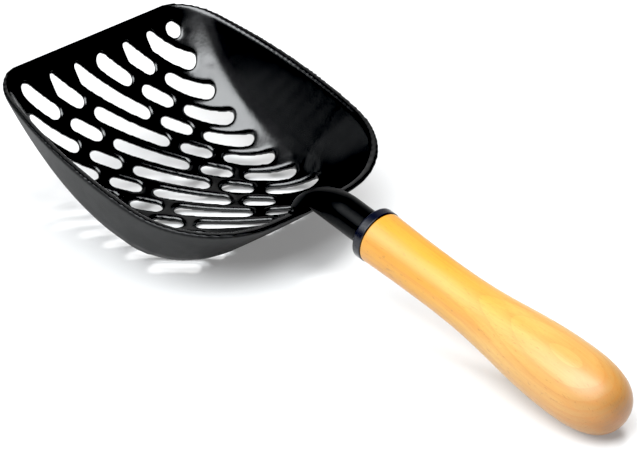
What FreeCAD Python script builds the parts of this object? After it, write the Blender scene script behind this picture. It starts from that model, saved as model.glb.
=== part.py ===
"""Slotted sifting scoop: a cast, black coated pan on a bent shank with a turned wooden handle.

The scoop lies as it rests on a table: +Z up, +X from the pan towards the butt of the handle,
+Y across the pan. The origin is on the table below the middle of the scoop. All sizes are mm.
"""
import FreeCAD
import Part
import math
import os

Vector = FreeCAD.Vector

# Pan, in its own axes: u from the lip to the back, y across, w up from the plane of the rim
PAN_LENGTH = 167.0
PAN_HALF_WIDTH = 75.8
PAN_TILT = 10.9             # degrees that the rim falls from the lip to the back
WIDEST_AT = 89.0            # u of the widest place
SIDE_RADIUS = 290.0         # plan radius of the long sides, outside
CORNER_RADIUS = 52.0        # plan radius of the back corners, outside
BACK_RADIUS = 600.0         # plan radius of the back, outside
LIP_CORNER_RADIUS = 12.0
WALL_THICKNESS = 4.0        # at the widest place and at the back
LIP_WALL_THICKNESS = 2.2    # of the side walls beside the lip
SIDE_DRAFT = 23.0           # degrees that the side walls lean out
BACK_DRAFT = 39.0           # degrees that the back wall leans out
BOWL_DEPTH = 45.6           # from the rim's plane to the floor, inside
FLOOR_RADIUS = 107.6        # profile radius of the floor, inside
FLOOR_LOW_AT = 87.9         # u of the deepest place
FLOOR_CROWN_RADIUS = 2000.0  # radius of the floor across the pan
FLOOR_THICKNESS = 2.6
FLOOR_SHIFT = 1.4           # u by which the outside is set back, which thickens the lip
BOWL_FILLET = 26.0          # between floor and walls, inside
PAN_FILLET = 30.0           # the same outside
REST_FLAT = 0.3             # depth of the flat ground on the underside
WALLS_ABOVE = 30.0          # how far the walls run on above the rim and below it, before they are trimmed
WALLS_BELOW = 70.0
WALLS_IN_FRONT = 60.0       # how far they run on in front of the lip
FLOOR_HALF_SPAN = 110.0     # half of the floor's width before it is trimmed

# Sifting slots, cut straight down through the floor in rows at 45 degrees
SLOT_WIDTH = 7.0
SLOT_PITCH = 16.0           # between rows, along u
SLOT_FIRST_U = 22.4         # u where row 0 crosses the centre line
FIRST_ROW = -4
LAST_ROW = 9
RIB_POSITIONS = (-31.2, -15.7, 15.7, 31.2)
RIB_WIDTH = 4.0
SLOT_REACH = 51.3           # y of the outer slot ends
SLOT_FRONT = 6.0            # u of the front slot ends
SLOT_BACK = 134.0           # u that no slot passes
SLOT_TIP_RADIUS = 1.1
SLOT_TIP_DEPTH = 8.4        # how far behind SLOT_FRONT the corners of a pointed slot lie at most
FRONT_TOLERANCE = 2.5       # a front end this close to SLOT_FRONT is cut along its rib
CORNER_HOLE_U = 9.7         # place and size of the short hole in one corner of the lip
CORNER_HOLE_Y = 48.4
CORNER_HOLE_WIDTH = 5.2
CORNER_HOLE_LENGTH = 7.2
CUT_ABOVE = 10.0            # how far the cutters of the slots reach above the rim and below it
CUT_BELOW = 80.0

# Handle, shank and collar share one axis, s from the front face of the wood
HANDLE_TILT = 9.3           # degrees that the axis falls towards the butt
HANDLE_FROM_REST = 111.5    # x from the flat under the pan to the wood's front face
HANDLE_PROFILE = ((0.0, 13.0), (35.0, 12.4), (70.0, 13.5), (105.0, 17.2), (124.0, 18.0), (141.0, 16.7),
                  (152.0, 12.0), (157.4, 0.0))      # s and radius of the turned outside
HANDLE_FRONT_CHAMFER = 0.6
HANDLE_FRONT_SLOPE = -0.03  # of the outside behind the chamfer
SHANK_RADIUS = 8.7
SHANK_STRAIGHT = 22.0       # from the wood to the start of the bend
SHANK_BEND_RADIUS = 30.0    # of the bend's centre line
SHANK_BEND = 58.0           # degrees
SHANK_END = 3.0             # straight length after the bend
SHANK_END_ROUND = 2.0
COLLAR_RADIUS = 13.3
COLLAR_LENGTH = 5.2
COLLAR_CHAMFER = 0.8
STUD_RADIUS = 4.0           # M8, threads left out
STUD_IN_SHANK = 14.0
STUD_IN_WOOD = 34.0
STUD_CHAMFER = 0.8
INSERT_RADIUS = 5.2
INSERT_RIDGE = 0.9          # height of the ridges that grip the wood
INSERT_RIDGES = 7
INSERT_RIDGE_SHARE = 0.4    # part of the insert's length that the ridges take up
INSERT_FROM = 1.5
INSERT_LENGTH = 24.0
STUD_HOLE_RADIUS = 4.6      # in the wood behind the insert
STUD_HOLE_DEPTH = 38.0
WELD_RADIUS = 1.7
WELD_STEP = 1.8             # between the ripples of a weld
WELD_CRUMB = 0.5            # volume below which a scrap of weld is dropped

UP = Vector(0, 0, 1)
ALONG = Vector(1, 0, 0)
ACROSS = Vector(0, 1, 0)
FAR = 300.0                 # longer than the scoop, for cutting bodies
SURFACE_TOLERANCE = 0.05    # how far a point may lie from the surface that it is on
UPRIGHT_TOLERANCE = 1e-6    # how far apart in plan the ends of an upright edge may be
CURVE_STEPS = 400           # points along the handle's outside, to find where it touches the table


def middle_of(edge):
    """The point in the middle of an edge."""
    return edge.valueAt((edge.FirstParameter + edge.LastParameter) / 2)


def mirrored(point):
    """The point on the other side of the pan."""
    return Vector(point.x, -point.y, point.z)


def short_arc(centre, radius, start, end):
    """The shorter arc about centre from start to end."""
    middle = (start - centre) + (end - centre)
    middle.normalize()
    return Part.Arc(start, centre + middle * radius, end).toShape()


def towards(start, end):
    """The unit vector from start to end."""
    direction = end - start
    direction.normalize()
    return direction


def side_half_width(half_width, side_radius, u):
    """Half of the pan's width at u, from the widest half width and the radius of the sides."""
    return half_width - side_radius + math.sqrt(side_radius ** 2 - (u - WIDEST_AT) ** 2)


def plan_outline(half_width, back_at, side_radius, corner_radius, back_radius, height):
    """The plan of the pan at one height: two bowed sides, two round corners and a bowed back."""
    side_centre = Vector(WIDEST_AT, half_width - side_radius, 0)
    back_centre = Vector(back_at - back_radius, 0, 0)
    span = (back_centre - side_centre).Length
    along = towards(side_centre, back_centre)
    left = Vector(-along.y, along.x, 0)
    reach_side = side_radius - corner_radius
    reach_back = back_radius - corner_radius
    foot = (reach_side ** 2 - reach_back ** 2 + span ** 2) / (2 * span)
    rise = math.sqrt(reach_side ** 2 - foot ** 2)
    corner = max((side_centre + along * foot + left * rise, side_centre + along * foot - left * rise),
                 key=lambda point: point.y)
    side_end = side_centre + towards(side_centre, corner) * side_radius
    back_end = back_centre + towards(back_centre, corner) * back_radius
    front = Vector(-WALLS_IN_FRONT, side_half_width(half_width, side_radius, -WALLS_IN_FRONT), 0)
    wire = Part.Wire([
        short_arc(side_centre, side_radius, front, side_end),
        short_arc(corner, corner_radius, side_end, back_end),
        Part.Arc(back_end, Vector(back_at, 0, 0), mirrored(back_end)).toShape(),
        short_arc(mirrored(corner), corner_radius, mirrored(back_end), mirrored(side_end)),
        short_arc(mirrored(side_centre), side_radius, mirrored(side_end), mirrored(front)),
        Part.makeLine(mirrored(front), front),
    ])
    wire.translate(UP * height)
    return wire


def crown_drop(y):
    """How much higher the crowned floor is at y than on the centre line."""
    return FLOOR_CROWN_RADIUS - math.sqrt(FLOOR_CROWN_RADIUS ** 2 - y ** 2)


def barrel(radius, centre_u, centre_w):
    """A barrel lying across the pan, whose underside is the crowned floor."""
    left = Vector(centre_u, -FLOOR_HALF_SPAN, centre_w)
    right = Vector(centre_u, FLOOR_HALF_SPAN, centre_w)
    down = UP * (crown_drop(FLOOR_HALF_SPAN) - radius)
    arc = Part.Arc(left + down, Vector(centre_u, 0, centre_w - radius), right + down).toShape()
    wire = Part.Wire([Part.makeLine(left, left + down), arc, Part.makeLine(right + down, right),
                      Part.makeLine(right, left)])
    return Part.Face(wire).revolve(left, ACROSS, 360)


def bowl_block(half_width, back_at, side_radius, corner_radius, back_radius, floor_radius, floor_u, fillet):
    """A solid bounded by the drafted walls and the crowned floor, with the fillet between them."""
    centre_w = FLOOR_RADIUS - BOWL_DEPTH
    side = math.tan(math.radians(SIDE_DRAFT))
    back = math.tan(math.radians(BACK_DRAFT))
    wires = [plan_outline(half_width + w * side, back_at + w * back, side_radius + w * side,
                          corner_radius + w * side, back_radius, w) for w in (WALLS_ABOVE, -WALLS_BELOW)]
    walls = Part.makeLoft(wires, True, True)
    body = walls.common(barrel(floor_radius, floor_u, centre_w))
    seam = []
    for edge in body.Edges:
        middle = middle_of(edge)
        from_axis = math.hypot(middle.x - floor_u, middle.z - centre_w)
        on_floor = abs(from_axis - floor_radius + crown_drop(middle.y)) < SURFACE_TOLERANCE
        on_side = abs(middle.y) > SURFACE_TOLERANCE
        on_back = middle.x > floor_u
        if on_floor and middle.x > 0 and middle.z < 0 and (on_side or on_back):
            seam.append(edge)
    return body.makeFillet(fillet, seam)


def is_upright(edge):
    """Whether an edge is a straight line along w."""
    start, end = edge.Vertexes[0].Point, edge.Vertexes[-1].Point
    sideways = math.hypot(start.x - end.x, start.y - end.y)
    return sideways < UPRIGHT_TOLERANCE and start.z != end.z


def slot_face(row, low, high):
    """The plan of one slot of a row between two values of y, or None where it would leave the floor."""
    radius = SLOT_WIDTH / 2
    half = radius * math.sqrt(2)          # half of the slot's width, measured along u
    inset = radius / math.sqrt(2)         # y from a slot's end to the centre of its round
    centre = SLOT_FIRST_U + row * SLOT_PITCH
    first, last = low + inset, high - inset
    if centre + high > SLOT_BACK or centre + last - radius < SLOT_FRONT:
        return None
    front = centre + first - radius - SLOT_FRONT
    if front < -FRONT_TOLERANCE:
        first = SLOT_FRONT + radius - centre
    sideways = Vector(inset, -inset, 0)
    lengthways = Vector(inset, inset, 0)
    end = Vector(centre + last, last, 0)
    round_end = Part.Arc(end - sideways, end + lengthways, end + sideways).toShape()
    if abs(front) <= FRONT_TOLERANCE:
        corners = [end + sideways, Vector(centre + low + half, low, 0), Vector(SLOT_FRONT, low, 0),
                   Vector(SLOT_FRONT, SLOT_FRONT - centre + half, 0), end - sideways]
        sides = [Part.makeLine(a, b) for a, b in zip(corners, corners[1:])]
        return Part.Face(Part.Wire([round_end] + sides))
    return stadium(Vector(centre + first, first, 0), end, radius)


def is_pointed(face):
    """Whether a slot's plan has corners at its front in place of a round end."""
    return len(face.Edges) > 4


def slot_cutters():
    """One upright prism for each sifting slot."""
    limits = [-SLOT_REACH]
    for rib in RIB_POSITIONS:
        limits += [rib - RIB_WIDTH / 2, rib + RIB_WIDTH / 2]
    limits.append(SLOT_REACH)
    cutters = []
    for row in range(FIRST_ROW, LAST_ROW + 1):
        for low, high in zip(limits[0::2], limits[1::2]):
            face = slot_face(row, low, high)
            if face is None:
                continue
            prism = upright_prism(face)
            if is_pointed(face):
                tips = [edge for edge in prism.Edges
                        if is_upright(edge) and edge.Vertexes[0].Point.x < SLOT_FRONT + SLOT_TIP_DEPTH]
                prism = prism.makeFillet(SLOT_TIP_RADIUS, tips)
            cutters.append(prism)
    cutters.append(corner_hole_cutter())
    return cutters


def corner_hole_cutter():
    """The prism of the short hole beyond the slots, parallel to them."""
    middle = Vector(CORNER_HOLE_U, CORNER_HOLE_Y, 0)
    reach = (CORNER_HOLE_LENGTH - CORNER_HOLE_WIDTH) / 2 / math.sqrt(2)
    half_hole = Vector(reach, reach, 0)
    return upright_prism(stadium(middle - half_hole, middle + half_hole, CORNER_HOLE_WIDTH / 2))


def upright_prism(face):
    """A plan face drawn out along w, through the floor and above the rim."""
    return face.translated(UP * -CUT_BELOW).extrude(UP * (CUT_BELOW + CUT_ABOVE))


def stadium(start, end, radius):
    """The face of a slot with round ends centred on start and end."""
    length = towards(start, end) * radius
    side = Vector(length.y, -length.x, 0)
    return Part.Face(Part.Wire([
        Part.Arc(end - side, end + length, end + side).toShape(),
        Part.makeLine(end + side, start + side),
        Part.Arc(start + side, start - length, start - side).toShape(),
        Part.makeLine(start - side, end - side),
    ]))


def pan_trim():
    """The space that the pan may fill: below the rim's plane, behind the lip, with round lip corners."""
    half_lip = side_half_width(PAN_HALF_WIDTH, SIDE_RADIUS, LIP_CORNER_RADIUS)
    corner = Vector(0, half_lip, 0)
    inner = Vector(LIP_CORNER_RADIUS, half_lip - LIP_CORNER_RADIUS, 0)
    lip_end = inner - ALONG * LIP_CORNER_RADIUS
    side_end = inner + ACROSS * LIP_CORNER_RADIUS
    back = Vector(FAR, FAR, 0)
    wide = Vector(LIP_CORNER_RADIUS, FAR, 0)
    wire = Part.Wire([
        Part.makeLine(mirrored(lip_end), lip_end), short_arc(inner, LIP_CORNER_RADIUS, lip_end, side_end),
        Part.makeLine(side_end, wide), Part.makeLine(wide, back), Part.makeLine(back, mirrored(back)),
        Part.makeLine(mirrored(back), mirrored(wide)), Part.makeLine(mirrored(wide), mirrored(side_end)),
        short_arc(mirrored(inner), LIP_CORNER_RADIUS, mirrored(side_end), mirrored(lip_end)),
    ])
    return Part.Face(wire).extrude(UP * -FAR)


def pan_placement():
    """Where the pan's own axes lie: tilted, with the flat under its floor on the table at x = 0."""
    outer_radius = FLOOR_RADIUS + FLOOR_THICKNESS
    turn = FreeCAD.Rotation(ACROSS, PAN_TILT)
    centre = turn.multVec(Vector(FLOOR_LOW_AT + FLOOR_SHIFT, 0, FLOOR_RADIUS - BOWL_DEPTH))
    return FreeCAD.Placement(UP * (outer_radius - REST_FLAT) - centre, turn)


def make_pan_and_bowl():
    """The cast pan, and the block of space that its bowl holds, in the scoop's axes."""
    inner_half_width = PAN_HALF_WIDTH - WALL_THICKNESS
    inner_half_lip = side_half_width(PAN_HALF_WIDTH, SIDE_RADIUS, 0) - LIP_WALL_THICKNESS
    bow = inner_half_width - inner_half_lip
    inner_side_radius = (WIDEST_AT ** 2 + bow ** 2) / (2 * bow)
    bowl = bowl_block(inner_half_width, PAN_LENGTH - WALL_THICKNESS, inner_side_radius,
                      CORNER_RADIUS - WALL_THICKNESS, BACK_RADIUS - WALL_THICKNESS, FLOOR_RADIUS,
                      FLOOR_LOW_AT, BOWL_FILLET)
    outside = bowl_block(PAN_HALF_WIDTH, PAN_LENGTH, SIDE_RADIUS, CORNER_RADIUS, BACK_RADIUS,
                         FLOOR_RADIUS + FLOOR_THICKNESS, FLOOR_LOW_AT + FLOOR_SHIFT, PAN_FILLET)
    pan = outside.cut(bowl).common(pan_trim()).cut(slot_cutters())
    pan = max(pan.Solids, key=lambda solid: solid.Volume)
    in_place = pan_placement().toMatrix()
    table = Part.makeBox(2 * FAR, 2 * FAR, FAR, Vector(-FAR, -FAR, -FAR))
    return pan.transformed(in_place, True).cut(table).Solids[0], bowl.transformed(in_place, True)


def revolved(points):
    """A solid turned about the handle's axis from a closed outline of (s, radius) corners."""
    corners = [Vector(s, 0, radius) for s, radius in points]
    return Part.Face(Part.makePolygon(corners + corners[:1])).revolve(Vector(), ALONG, 360)


def handle_curve():
    """The turned outside of the handle, from its front chamfer to the middle of its butt."""
    (start, radius), *rest = HANDLE_PROFILE
    points = [Vector(start + HANDLE_FRONT_CHAMFER, 0, radius)] + [Vector(s, 0, r) for s, r in rest]
    curve = Part.BSplineCurve()
    curve.interpolate(Points=points, InitialTangent=Vector(1, 0, HANDLE_FRONT_SLOPE), FinalTangent=-UP)
    return curve.toShape()


def handle_placement():
    """Where the handle's axis lies: tilted, with the butt resting on the table."""
    turn = FreeCAD.Rotation(ACROSS, HANDLE_TILT)
    curve = handle_curve()
    down = turn.multVec(UP)
    outside = curve.discretize(CURVE_STEPS)
    lowest = min((turn.multVec(ALONG * point.x) - down * point.z).z for point in outside)
    return FreeCAD.Placement(Vector(HANDLE_FROM_REST, 0, -lowest), turn)


def make_handle():
    """The turned wooden grip with its stepped blind hole."""
    curve = handle_curve()
    front, end = curve.valueAt(curve.FirstParameter), curve.valueAt(curve.LastParameter)
    chamfer = Vector(0, 0, front.z - HANDLE_FRONT_CHAMFER)
    outline = Part.Wire([curve, Part.makeLine(end, Vector()), Part.makeLine(Vector(), chamfer),
                         Part.makeLine(chamfer, front)])
    body = Part.Face(outline).revolve(Vector(), ALONG, 360)
    hole = Part.makeCylinder(STUD_HOLE_RADIUS, STUD_HOLE_DEPTH, Vector(), ALONG)
    mouth = Part.makeCylinder(INSERT_RADIUS, INSERT_FROM, Vector(), ALONG)
    return body.cut([hole, mouth, insert_outside()]).Solids[0]


def insert_outside():
    """The insert without its thread: a core with sharp ridges around it."""
    pitch = INSERT_LENGTH / INSERT_RIDGES
    half_ridge = pitch * INSERT_RIDGE_SHARE / 2
    outline = [(INSERT_FROM, 0.0)]
    for ridge in range(INSERT_RIDGES):
        start = INSERT_FROM + ridge * pitch
        top = start + pitch / 2
        outline += [(start, INSERT_RADIUS), (top - half_ridge, INSERT_RADIUS),
                    (top, INSERT_RADIUS + INSERT_RIDGE), (top + half_ridge, INSERT_RADIUS)]
    outline += [(INSERT_FROM + INSERT_LENGTH, INSERT_RADIUS), (INSERT_FROM + INSERT_LENGTH, 0.0)]
    return revolved(outline)


def make_insert():
    """The threaded insert in the wood."""
    return insert_outside().cut(Part.makeCylinder(STUD_RADIUS, STUD_HOLE_DEPTH, Vector(), ALONG)).Solids[0]


def make_stud():
    """The stud that draws the handle on to the shank."""
    start, end, bevel = -STUD_IN_SHANK, STUD_IN_WOOD, STUD_CHAMFER
    return revolved([(start, 0), (start, STUD_RADIUS - bevel), (start + bevel, STUD_RADIUS),
                     (end - bevel, STUD_RADIUS), (end, STUD_RADIUS - bevel), (end, 0)])


def make_collar():
    """The plain ring between the shank and the wood."""
    back, front, bevel = -COLLAR_LENGTH, 0.0, COLLAR_CHAMFER
    return revolved([(front, SHANK_RADIUS), (front, COLLAR_RADIUS - bevel / 2),
                     (front - bevel / 2, COLLAR_RADIUS), (back + bevel, COLLAR_RADIUS),
                     (back, COLLAR_RADIUS - bevel), (back, SHANK_RADIUS)])


def bent_bar():
    """The round bar with its end bent down, in the handle's axes."""
    angle = math.radians(SHANK_BEND)
    radius = SHANK_BEND_RADIUS
    bend_start = Vector(-SHANK_STRAIGHT, 0, 0)
    centre = bend_start - UP * radius
    middle = centre + Vector(-math.sin(angle / 2), 0, math.cos(angle / 2)) * radius
    bend_end = centre + Vector(-math.sin(angle), 0, math.cos(angle)) * radius
    tip = bend_end + Vector(-math.cos(angle), 0, -math.sin(angle)) * SHANK_END
    path = Part.Wire([Part.makeLine(Vector(), bend_start), Part.Arc(bend_start, middle, bend_end).toShape(),
                      Part.makeLine(bend_end, tip)])
    circle = Part.Wire(Part.makeCircle(SHANK_RADIUS, Vector(), ALONG))
    bar = path.makePipeShell([circle], True, True)
    end_edges = [edge for edge in bar.Edges if (edge.CenterOfMass - tip).Length < SURFACE_TOLERANCE]
    return bar.makeFillet(SHANK_END_ROUND, end_edges)


def shank_bar(bowl):
    """The bar before it is notched over the rim: bent inside the bowl, straight below outside it."""
    in_place = handle_placement().toMatrix()
    bent = bent_bar().transformed(in_place, True)
    straight = Part.makeCylinder(SHANK_RADIUS, FAR, Vector(), -ALONG).transformed(in_place, True)
    stud_hole = Part.makeCylinder(STUD_RADIUS, STUD_IN_SHANK, Vector(), -ALONG).transformed(in_place, True)
    bar = bent.common(straight).fuse(bent.common(bowl))
    return bar.cut(stud_hole)


def weld_bead(bar, pan):
    """Ripples of weld along the line where the bar meets the pan."""
    ripples = []
    for edge in pan.section(bar).Edges:
        count = max(1, round(edge.Length / WELD_STEP))
        ripples += [Part.makeSphere(WELD_RADIUS, point) for point in edge.discretize(count + 1)[:-1]]
    bead = ripples[0].multiFuse(ripples[1:]).cut([bar, pan])
    return Part.Compound([solid for solid in bead.Solids if solid.Volume > WELD_CRUMB])


def build():
    """Every piece of the scoop by node name."""
    along_handle = handle_placement().toMatrix()
    pan, bowl = make_pan_and_bowl()
    bar = shank_bar(bowl)
    pieces = {"pan": pan, "shank": max(bar.cut(pan).Solids, key=lambda solid: solid.Volume)}
    pieces["weld_bead"] = weld_bead(bar, pan)
    for name, make in (("collar", make_collar), ("stud", make_stud), ("threaded_insert", make_insert),
                       ("handle", make_handle)):
        pieces[name] = make().transformed(along_handle, True)
    return pieces


def write(pieces):
    """One STEP file for each piece, with the origin moved below the middle of the scoop."""
    os.makedirs("parts", exist_ok=True)
    whole = Part.Compound(list(pieces.values())).optimalBoundingBox(False, False)
    middle = Vector(-(whole.XMin + whole.XMax) / 2, -(whole.YMin + whole.YMax) / 2, 0)
    for name, piece in pieces.items():
        piece.translate(middle)
        piece.exportStep(os.path.join("parts", name + ".step"))
        box = piece.optimalBoundingBox(False, False)
        print(name, len(piece.Solids), piece.isValid(), round(piece.Volume), box)


write(build())
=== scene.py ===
"""Looks of the slotted sifting scoop: coated metal, a varnished turned handle and a plain white studio."""

import math

import bpy
from mathutils import Matrix, Quaternion, Vector


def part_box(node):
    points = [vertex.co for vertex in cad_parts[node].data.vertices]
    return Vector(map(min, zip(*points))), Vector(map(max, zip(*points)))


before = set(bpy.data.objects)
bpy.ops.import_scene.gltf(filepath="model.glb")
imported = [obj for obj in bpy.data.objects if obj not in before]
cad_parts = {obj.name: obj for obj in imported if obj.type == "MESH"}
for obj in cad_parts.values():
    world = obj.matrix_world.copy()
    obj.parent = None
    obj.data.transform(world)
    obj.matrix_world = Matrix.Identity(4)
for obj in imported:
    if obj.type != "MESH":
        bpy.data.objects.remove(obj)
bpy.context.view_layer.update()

# Shape of the pan for show, in metres
WELD_DISTANCE = 0.000002
PAN_GRAIN = 0.0006            # size of the cells that the pan is laid out in again before it is smoothed
PAN_REGAINED = 0.00028        # thickness given to each face, because the smoothing shrinks the bars
PAN_SMOOTHINGS = 32           # each one rounds the pan's edges a little more
SMOOTHING_FACTOR = 0.5

# Radius to which edges look rounded, in metres
BOWL_SHINE_EDGE = 0.0008
BAR_SHINE_EDGE = 0.0005
EDGE_SAMPLES = 6

# Noises: (scale per metre, detail, roughness)
PEEL = (650.0, 2.0, 0.45)
SPRAY_GRAIN = (5200.0, 2.0, 0.6)
GLOSS_CLOUD = (38.0, 4.0, 0.6)
WEAR = (300.0, 4.0, 0.7)
DUST = (2100.0, 1.0, 0.4)
CAST_GRAIN = (1500.0, 3.0, 0.6)
STAIN = (160.0, 4.0, 0.6)
VARNISH_RIPPLE = (260.0, 3.0, 0.5)
TABLE_TONE = (6.0, 2.0, 0.5)

# Noises that are stretched along an axis: (scales along x, y and z, detail, roughness)
WOOD_FIBRE = ((26.0, 1500.0, 1500.0), 4.0, 0.62)
WOOD_STREAK = ((7.0, 210.0, 210.0), 4.0, 0.6)
WOOD_CLOUD = ((14.0, 55.0, 55.0), 3.0, 0.5)
RAY_FLECK = ((330.0, 2600.0, 900.0), 1.0, 0.4)
TURNING_MARKS = ((2600.0, 60.0, 60.0), 3.0, 0.6)

# Coating
COATING = (0.0008, 0.0008, 0.0009, 1.0)
NAVY = (0.001, 0.0015, 0.006, 1.0)
BOWL_ROUGHNESS, BOWL_SHINE = 0.2, 0.75
BAR_ROUGHNESS, BAR_SHINE = 0.36, 0.18
COLLAR_ROUGHNESS, COLLAR_SHINE = 0.26, 0.6
RUBBED_FROM = 0.985           # cosine between the rounded and the flat normal where rubbing begins
RUBBED_FULL = 0.8
PEEL_HEIGHT = 0.00006         # metres
CAST_HEIGHT = 0.0001
OUTSIDE_FROM = 0.012          # metres from the bowl's middle to a face's plane, where the outside begins
OUTSIDE_FULL = 0.03
OUTSIDE_ROUGHER = 0.3         # the outside of the pan is satin
OUTSIDE_SHINE = 0.33

# Wood
WOOD_EXPOSURE = 0.6           # darkens the wood, because the studio is bright enough to bleach its floor
AXIS_END_SHARE = 0.12         # part of a turned piece's length at each end that is averaged to find its axis
PITH_Y = 0.021                # where the middle of the tree lay beside the handle's axis, in metres
PITH_Z = -0.034
RINGS_PER_METRE = 420.0
RING_SHARPNESS = 3.0
GRAIN_WANDER = 0.007          # metres
WANDER_SCALE = (2.2, 16.0, 16.0)
FIBRE_HEIGHT = 0.00008        # metres
RIPPLE_HEIGHT = 0.00005

# Plated steel
ZINC = (0.72, 0.68, 0.5, 1.0)
ZINC_ROUGHNESS = 0.34
STEEL = (0.56, 0.56, 0.57, 1.0)
STEEL_ROUGHNESS = 0.3
MARK_HEIGHT = 0.00002         # metres

# Studio
ROOM_STRENGTH = 0.1
BACKDROP_STRENGTH = 0.6
BACKDROP_FLATNESS = 0.35      # below 1 makes the backdrop a tall band
BACKDROP_FROM = 0.82          # cosine from the backdrop's middle where its glow begins, and where it is full
BACKDROP_FULL = 0.95
BLACK_LEVEL = 0.018
FLOOR_GLOW = 0.23
FLOOR_TONE = 0.52
FLOOR_TONE_CHANGE = 0.02
FLOOR_HALF = 6.0              # metres
FLOOR_HEIGHT = -0.0004        # just below the pan, so that the two don't share a plane

# Soft boxes, in metres, watts and degrees
WINDOW_AT = (0.14, -0.96, 1.63)
WINDOW_SIZE = (1.45, 2.85)
WINDOW_POWER = 88.0
WINDOW_TURN = -40.0
WINDOW_COLOUR = (0.95, 0.98, 1.0)
FILL_AT = (-0.25, 0.85, 1.9)
FILL_SIZE = (0.7, 0.7)
FILL_POWER = 33.0

# Camera: where it stands round the scoop, and how far away
CAMERA_AZIMUTH = 47.875       # degrees, 0 looks along +Y
CAMERA_ELEVATION = 30.705
CAMERA_ROLL = -0.865
CAMERA_DISTANCE = 1.6915
CAMERA_TARGET = Vector((-0.0139, -0.00049, 0.0285))
CAMERA_LENS = 202.2           # mm
CAMERA_SENSOR = 36.0          # mm
CAMERA_CLIP = (0.01, 50.0)


def linear(red, green, blue):
    """A linear colour with full alpha from 0-255 display values."""
    def channel(value):
        value /= 255
        return value / 12.92 if value <= 0.04045 else ((value + 0.055) / 1.055) ** 2.4
    return (channel(red), channel(green), channel(blue), 1.0)


def grey(value):
    """A grey of that linear value."""
    return (value, value, value, 1.0)


def scaled(colour, factor):
    """A colour made lighter or darker by a factor."""
    return tuple(channel * factor for channel in colour[:3]) + (1.0,)


class Graph:
    """A short way to write a node material."""

    def __init__(self, name):
        self.material = bpy.data.materials.new(name)
        self.material.use_nodes = True
        self.tree = self.material.node_tree
        self.tree.nodes.clear()
        self.output = self.tree.nodes.new("ShaderNodeOutputMaterial")
        self.surface = self.node("ShaderNodeBsdfPrincipled")
        self.tree.links.new(self.surface.outputs[0], self.output.inputs["Surface"])
        self.place = self.node("ShaderNodeTexCoord").outputs["Object"]

    def node(self, kind, settings=None, **inputs):
        """A node with its settings and inputs; i0, i1 and so on name an input by its number."""
        made = self.tree.nodes.new(kind)
        for name, value in (settings or {}).items():
            setattr(made, name, value)
        for name, value in inputs.items():
            key = int(name[1:]) if name[0] == "i" and name[1:].isdigit() else name
            self.set(made, key, value)
        return made

    def set(self, node, key, value):
        """Sets or links one input of a node: a value is set, and another node's output is linked."""
        if isinstance(value, bpy.types.NodeSocket):
            self.tree.links.new(value, node.inputs[key])
        else:
            node.inputs[key].default_value = value

    def finish(self, **inputs):
        """Sets the surface's inputs, with underscores for spaces, and returns the material."""
        for name, value in inputs.items():
            self.set(self.surface, name.replace("_", " "), value)
        return self.material

    def noise(self, where, scale, detail, roughness):
        """Fractal noise between 0 and 1."""
        return self.node("ShaderNodeTexNoise", Vector=where, Scale=scale, Detail=detail,
                         Roughness=roughness).outputs["Fac"]

    def stretched_noise(self, where, scales, detail, roughness):
        """Fractal noise between 0 and 1 with its own scale along each axis."""
        return self.noise(self.mapping(where, scales), 1.0, detail, roughness)

    def ramp(self, value, *stops):
        """A colour ramp through (position, colour) stops."""
        made = self.node("ShaderNodeValToRGB", Fac=value)
        elements = made.color_ramp.elements
        while len(elements) < len(stops):
            elements.new(0.5)
        for element, (position, colour) in zip(elements, stops):
            element.position = position
            element.color = colour
        return made.outputs["Color"]

    def remap(self, value, low, high, to_low=0.0, to_high=1.0):
        """A clamped linear change of range."""
        made = self.node("ShaderNodeMapRange", Value=value)
        for key, number in (("From Min", low), ("From Max", high), ("To Min", to_low), ("To Max", to_high)):
            self.set(made, key, number)
        return made.outputs["Result"]

    def math(self, operation, first, second=0.0):
        """One arithmetic step."""
        return self.node("ShaderNodeMath", {"operation": operation}, i0=first, i1=second).outputs[0]

    def vector(self, operation, first, second):
        """One step with vectors."""
        made = self.node("ShaderNodeVectorMath", {"operation": operation}, i0=first, i1=second)
        return made.outputs["Value" if operation == "DOT_PRODUCT" else "Vector"]

    def split(self, vector):
        """The separate X, Y and Z of a vector."""
        return self.node("ShaderNodeSeparateXYZ", Vector=vector).outputs

    def mix(self, factor, first, second, blend="MIX"):
        """One colour over another."""
        made = self.node("ShaderNodeMix", {"data_type": "RGBA", "blend_type": blend})
        for key, value in zip((0, 6, 7), (factor, first, second)):
            self.set(made, key, value)
        return made.outputs[2]

    def bump(self, height, distance, strength, normal=None):
        """A bumped normal."""
        made = self.node("ShaderNodeBump", Height=height, Distance=distance, Strength=strength)
        if normal is not None:
            self.set(made, "Normal", normal)
        return made.outputs["Normal"]

    def mapping(self, where, scale=(1, 1, 1), turn=(0, 0, 0), shift=(0, 0, 0)):
        """Turned and stretched texture coordinates."""
        return self.node("ShaderNodeMapping", {"vector_type": "POINT"}, Vector=where, Scale=scale,
                         Rotation=turn, Location=shift).outputs["Vector"]


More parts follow.
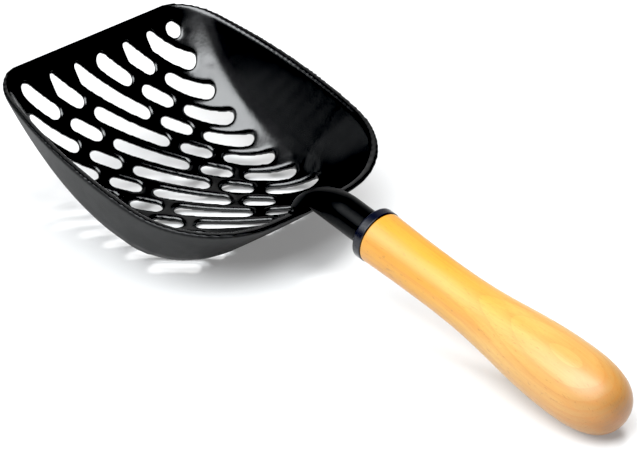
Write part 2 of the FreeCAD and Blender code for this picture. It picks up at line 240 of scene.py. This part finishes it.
def coated_metal(name, colour, roughness, edge, shine, bowl_centre=None):
    """Sprayed and baked coating: a fine orange peel, uneven gloss, dust specks and rubbed edges.

    With bowl_centre, faces that look away from it are the satin outside of a cast pan.
    """
    graph = Graph(name)
    peel = graph.noise(graph.place, *PEEL)
    grain = graph.noise(graph.place, *SPRAY_GRAIN)
    cloud = graph.noise(graph.place, *GLOSS_CLOUD)
    wear = graph.noise(graph.place, *WEAR)
    speck = graph.remap(graph.noise(graph.place, *DUST), 0.74, 0.8)

    rounded = graph.node("ShaderNodeBevel", {"samples": EDGE_SAMPLES}, Radius=edge).outputs["Normal"]
    flat = graph.node("ShaderNodeNewGeometry").outputs["Normal"]
    turned = graph.vector("DOT_PRODUCT", rounded, flat)
    rubbed = graph.remap(turned, RUBBED_FROM, RUBBED_FULL)
    rubbed = graph.math("MULTIPLY", rubbed, graph.remap(wear, 0.4, 0.7))

    shade = graph.mix(graph.remap(cloud, 0.35, 0.7, 0.0, 0.5), colour, scaled(colour, 2.2))
    shade = graph.mix(graph.math("MULTIPLY", rubbed, 0.12), shade, grey(0.06))
    shade = graph.mix(graph.math("MULTIPLY", speck, 0.05), shade, grey(0.15))
    gloss = graph.remap(cloud, 0.3, 0.75, roughness - 0.03, roughness + 0.05)
    gloss = graph.math("ADD", gloss, graph.math("MULTIPLY", grain, 0.04))
    height = graph.math("ADD", peel, graph.math("MULTIPLY", grain, 0.18))
    normal = graph.bump(height, PEEL_HEIGHT, 0.4, rounded)

    if bowl_centre is not None:
        outward = graph.vector("SUBTRACT", graph.place, bowl_centre)
        facing = graph.vector("DOT_PRODUCT", outward, flat)
        outside = graph.remap(facing, OUTSIDE_FROM, OUTSIDE_FULL)
        gloss = graph.math("ADD", gloss, graph.math("MULTIPLY", outside, OUTSIDE_ROUGHER))
        shine = graph.remap(outside, 0.0, 1.0, shine, OUTSIDE_SHINE)
        cast = graph.noise(graph.place, *CAST_GRAIN)
        normal = graph.bump(cast, CAST_HEIGHT, graph.math("MULTIPLY", outside, 0.35), normal)
    return graph.finish(Base_Color=shade, Roughness=gloss, Specular_IOR_Level=shine, Normal=normal)


def axis_of(node):
    """(start, direction) of the axis of a straight turned node whose length runs mostly along +X."""
    corners = [vertex.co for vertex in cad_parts[node].data.vertices]
    low = min(corner.x for corner in corners)
    high = max(corner.x for corner in corners)
    end_length = (high - low) * AXIS_END_SHARE
    near = [corner for corner in corners if corner.x < low + end_length]
    far = [corner for corner in corners if corner.x > high - end_length]
    start = sum(near, Vector()) / len(near)
    end = sum(far, Vector()) / len(far)
    return start, (end - start).normalized()


def growth_rings(graph, local):
    """The share of late wood, 0 to 1, in slightly wandering rings about a pith beside the handle."""
    wander = graph.node("ShaderNodeTexNoise", Vector=graph.mapping(local, WANDER_SCALE), Scale=1.0,
                        Detail=3.0).outputs["Color"]
    shifted = graph.node("ShaderNodeVectorMath", {"operation": "MULTIPLY_ADD"}, i0=wander,
                         i1=(0.0, GRAIN_WANDER, GRAIN_WANDER), i2=local).outputs[0]
    across = graph.split(shifted)
    from_pith_y = graph.math("POWER", graph.math("SUBTRACT", across["Y"], PITH_Y), 2.0)
    from_pith_z = graph.math("POWER", graph.math("SUBTRACT", across["Z"], PITH_Z), 2.0)
    distance = graph.math("SQRT", graph.math("ADD", from_pith_y, from_pith_z))
    ring = graph.math("FRACT", graph.math("MULTIPLY", distance, RINGS_PER_METRE))
    return graph.math("POWER", ring, RING_SHARPNESS)


def varnished_beech(name):
    """Clear varnish over beech: grain along the handle, growth rings, ray flecks and a darker butt."""
    graph = Graph(name)
    start, direction = axis_of("stud")
    tilt = math.atan2(-direction.z, direction.x)
    # local x runs along the handle from the stud's end in the shank; local y and z cross it
    shift = tuple(-(Matrix.Rotation(-tilt, 3, "Y") @ start))
    local = graph.mapping(graph.place, turn=(0, -tilt, 0), shift=shift)
    length = (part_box("handle")[1].x - start.x) / direction.x
    along = graph.remap(graph.split(local)["X"], 0.0, length)

    late_wood = growth_rings(graph, local)
    fibre = graph.stretched_noise(local, *WOOD_FIBRE)
    streak = graph.stretched_noise(local, *WOOD_STREAK)
    cloud = graph.stretched_noise(local, *WOOD_CLOUD)
    fleck = graph.stretched_noise(local, *RAY_FLECK)
    end_grain = graph.remap(along, 0.72, 1.0, 0.28, 0.7)

    # from the front to the butt
    ground = graph.ramp(along, (0.0, linear(246, 166, 5)), (0.3, linear(247, 176, 24)),
                        (0.62, linear(247, 192, 92)), (0.86, linear(238, 178, 92)),
                        (1.0, linear(196, 134, 70)))
    shade = graph.mix(graph.remap(cloud, 0.35, 0.7, 0.0, 0.25), ground, linear(250, 208, 132))
    shade = graph.mix(graph.remap(streak, 0.45, 0.75, 0.0, 0.5), shade, linear(236, 150, 52))
    shade = graph.mix(graph.math("MULTIPLY", late_wood, end_grain), shade, linear(222, 146, 66))
    shade = graph.mix(graph.remap(fibre, 0.45, 0.8, 0.0, 0.3), shade, linear(205, 132, 60))
    shade = graph.mix(graph.remap(fleck, 0.66, 0.74, 0.0, 0.35), shade, linear(160, 98, 44))
    shade = graph.mix(1.0, shade, grey(WOOD_EXPOSURE), "MULTIPLY")

    height = graph.math("ADD", graph.math("MULTIPLY", fibre, 0.6), graph.math("MULTIPLY", streak, 0.4))
    ripple = graph.noise(graph.place, *VARNISH_RIPPLE)
    return graph.finish(
        Base_Color=shade,
        Roughness=graph.remap(fibre, 0.3, 0.8, 0.38, 0.52),
        Normal=graph.bump(height, FIBRE_HEIGHT, 0.35),
        Specular_IOR_Level=0.15,
        Subsurface_Weight=0.06,
        Subsurface_Radius=(0.004, 0.002, 0.001),
        Subsurface_Scale=0.5,
        Coat_Weight=1.0,
        Coat_IOR=1.6,
        Coat_Roughness=graph.remap(cloud, 0.3, 0.7, 0.42, 0.5),
        Coat_Normal=graph.bump(ripple, RIPPLE_HEIGHT, 0.25),
    )


def plated_steel(name, colour, roughness):
    """Turned and plated steel with fine marks round the axis."""
    graph = Graph(name)
    marks = graph.stretched_noise(graph.place, *TURNING_MARKS)
    stain = graph.noise(graph.place, *STAIN)
    return graph.finish(
        Base_Color=graph.mix(graph.remap(stain, 0.4, 0.75, 0.0, 0.4), colour, scaled(colour, 0.6)),
        Metallic=1.0,
        Roughness=graph.remap(marks, 0.3, 0.7, roughness - 0.08, roughness + 0.1),
        Normal=graph.bump(marks, MARK_HEIGHT, 0.5),
    )


def studio_floor(name):
    """A plain white table top, which glows a little to lift its shadows."""
    graph = Graph(name)
    tone = graph.noise(graph.place, *TABLE_TONE)
    return graph.finish(
        Base_Color=graph.ramp(tone, (0.3, grey(FLOOR_TONE)), (0.7, grey(FLOOR_TONE + FLOOR_TONE_CHANGE))),
        Roughness=0.55,
        Specular_IOR_Level=0.2,
        Emission_Color=grey(1.0),
        Emission_Strength=FLOOR_GLOW,
    )


def cast_edges(piece):
    """Rounds every edge of the pan as casting and coating do, for show, without touching its CAD mesh."""
    joined = piece.modifiers.new("joined", "WELD")
    joined.merge_threshold = WELD_DISTANCE
    cells = piece.modifiers.new("cells", "REMESH")
    cells.mode = "VOXEL"
    cells.voxel_size = PAN_GRAIN
    cells.use_smooth_shade = True
    regained = piece.modifiers.new("regained", "DISPLACE")
    regained.strength = PAN_REGAINED
    regained.mid_level = 0.0
    rounded = piece.modifiers.new("rounded", "SMOOTH")
    rounded.factor = SMOOTHING_FACTOR
    rounded.iterations = PAN_SMOOTHINGS


def dress(node, material):
    """Gives a CAD node its material."""
    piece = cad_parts[node]
    piece.data.materials.clear()
    piece.data.materials.append(material)
    return piece


def make_materials_and_dress():
    """Covers every CAD node with its material, and rounds the pan."""
    rim_low, rim_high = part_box("pan")
    bowl_centre = Vector(((rim_low.x + rim_high.x) / 2, 0.0, rim_high.z))
    black = coated_metal("black_coating", COATING, BOWL_ROUGHNESS, BOWL_SHINE_EDGE, BOWL_SHINE, bowl_centre)
    bar_black = coated_metal("black_coating_shank", COATING, BAR_ROUGHNESS, BAR_SHINE_EDGE, BAR_SHINE)
    navy = coated_metal("dark_collar", NAVY, COLLAR_ROUGHNESS, BAR_SHINE_EDGE, COLLAR_SHINE)
    cast_edges(dress("pan", black))
    dress("shank", bar_black)
    dress("weld_bead", bar_black)
    dress("collar", navy)
    dress("handle", varnished_beech("varnished_beech"))
    dress("threaded_insert", plated_steel("zinc_insert", ZINC, ZINC_ROUGHNESS))
    dress("stud", plated_steel("steel_stud", STEEL, STEEL_ROUGHNESS))


def make_floor():
    """A wide white table top under the scoop."""
    corners = [(-FLOOR_HALF, -FLOOR_HALF, 0), (FLOOR_HALF, -FLOOR_HALF, 0),
               (FLOOR_HALF, FLOOR_HALF, 0), (-FLOOR_HALF, FLOOR_HALF, 0)]
    mesh = bpy.data.meshes.new("floor")
    mesh.from_pydata(corners, [], [(0, 1, 2, 3)])
    floor = bpy.data.objects.new("floor", mesh)
    floor.location = (0, 0, FLOOR_HEIGHT)
    floor.data.materials.append(studio_floor("white_table"))
    bpy.context.scene.collection.objects.link(floor)


def camera_side():
    """The direction in plan from the scoop to the camera."""
    azimuth = math.radians(CAMERA_AZIMUTH)
    return Vector((math.sin(azimuth), -math.cos(azimuth), 0.0))


def studio_room(name):
    """A dim room with a bright backdrop behind the scoop; the camera itself sees plain white."""
    world = bpy.data.worlds.new(name)
    world.use_nodes = True
    nodes, links = world.node_tree.nodes, world.node_tree.links
    background = nodes["Background"]
    background.inputs["Color"].default_value = grey(1.0)
    value = nodes.new("ShaderNodeTexCoord").outputs["Generated"]
    for operation, vector in (("MULTIPLY", (1.0, 1.0, BACKDROP_FLATNESS)), ("NORMALIZE", None),
                              ("DOT_PRODUCT", -camera_side())):
        step = nodes.new("ShaderNodeVectorMath")
        step.operation = operation
        if vector:
            step.inputs[1].default_value = vector
        links.new(value, step.inputs[0])
        value = step.outputs["Value" if operation == "DOT_PRODUCT" else "Vector"]
    glow = nodes.new("ShaderNodeMapRange")
    for key, number in (("From Min", BACKDROP_FROM), ("From Max", BACKDROP_FULL),
                        ("To Min", ROOM_STRENGTH), ("To Max", BACKDROP_STRENGTH)):
        glow.inputs[key].default_value = number
    links.new(value, glow.inputs["Value"])
    seen = nodes.new("ShaderNodeMix")
    links.new(nodes.new("ShaderNodeLightPath").outputs["Is Camera Ray"], seen.inputs["Factor"])
    links.new(glow.outputs["Result"], seen.inputs["A"])
    seen.inputs["B"].default_value = 1.0
    links.new(seen.outputs["Result"], background.inputs["Strength"])
    return world


def area_light(name, where, size, power, turn=0.0, colour=(1, 1, 1)):
    """An oval soft box that looks at the scoop, turned about its own beam by turn degrees."""
    data = bpy.data.lights.new(name, "AREA")
    data.shape = "ELLIPSE"
    data.size, data.size_y = size
    data.energy = power
    data.color = colour
    light = bpy.data.objects.new(name, data)
    light.location = where
    light.rotation_mode = "QUATERNION"
    level = (-Vector(where)).to_track_quat("-Z", "Y")
    light.rotation_quaternion = level @ Quaternion((0, 0, 1), math.radians(turn))
    bpy.context.scene.collection.objects.link(light)
    return light


def make_light():
    """A large window high on the left, a fill from behind that no gloss shows, and the room."""
    bpy.context.scene.world = studio_room("studio")
    grading = bpy.context.scene.view_settings
    grading.view_transform = "Standard"
    grading.use_curve_mapping = True
    grading.curve_mapping.black_level = (BLACK_LEVEL, BLACK_LEVEL, BLACK_LEVEL)
    grading.curve_mapping.update()
    area_light("window", WINDOW_AT, WINDOW_SIZE, WINDOW_POWER, WINDOW_TURN, WINDOW_COLOUR)
    fill = area_light("back_fill", FILL_AT, FILL_SIZE, FILL_POWER)
    fill.visible_glossy = False


def make_camera():
    """The camera at the view that shows the pan from above and the handle towards the viewer."""
    elevation = math.radians(CAMERA_ELEVATION)
    back = camera_side() * math.cos(elevation) + Vector((0.0, 0.0, math.sin(elevation)))
    data = bpy.data.cameras.new("camera")
    data.lens = CAMERA_LENS
    data.sensor_width = CAMERA_SENSOR
    data.clip_start, data.clip_end = CAMERA_CLIP
    camera = bpy.data.objects.new("camera", data)
    camera.location = CAMERA_TARGET + back * CAMERA_DISTANCE
    camera.rotation_mode = "QUATERNION"
    level = (-back).to_track_quat("-Z", "Y")
    roll = Matrix.Rotation(math.radians(CAMERA_ROLL), 3, back).to_quaternion()
    camera.rotation_quaternion = roll @ level
    bpy.context.scene.collection.objects.link(camera)
    bpy.context.scene.camera = camera


make_materials_and_dress()
make_floor()
make_light()
make_camera()
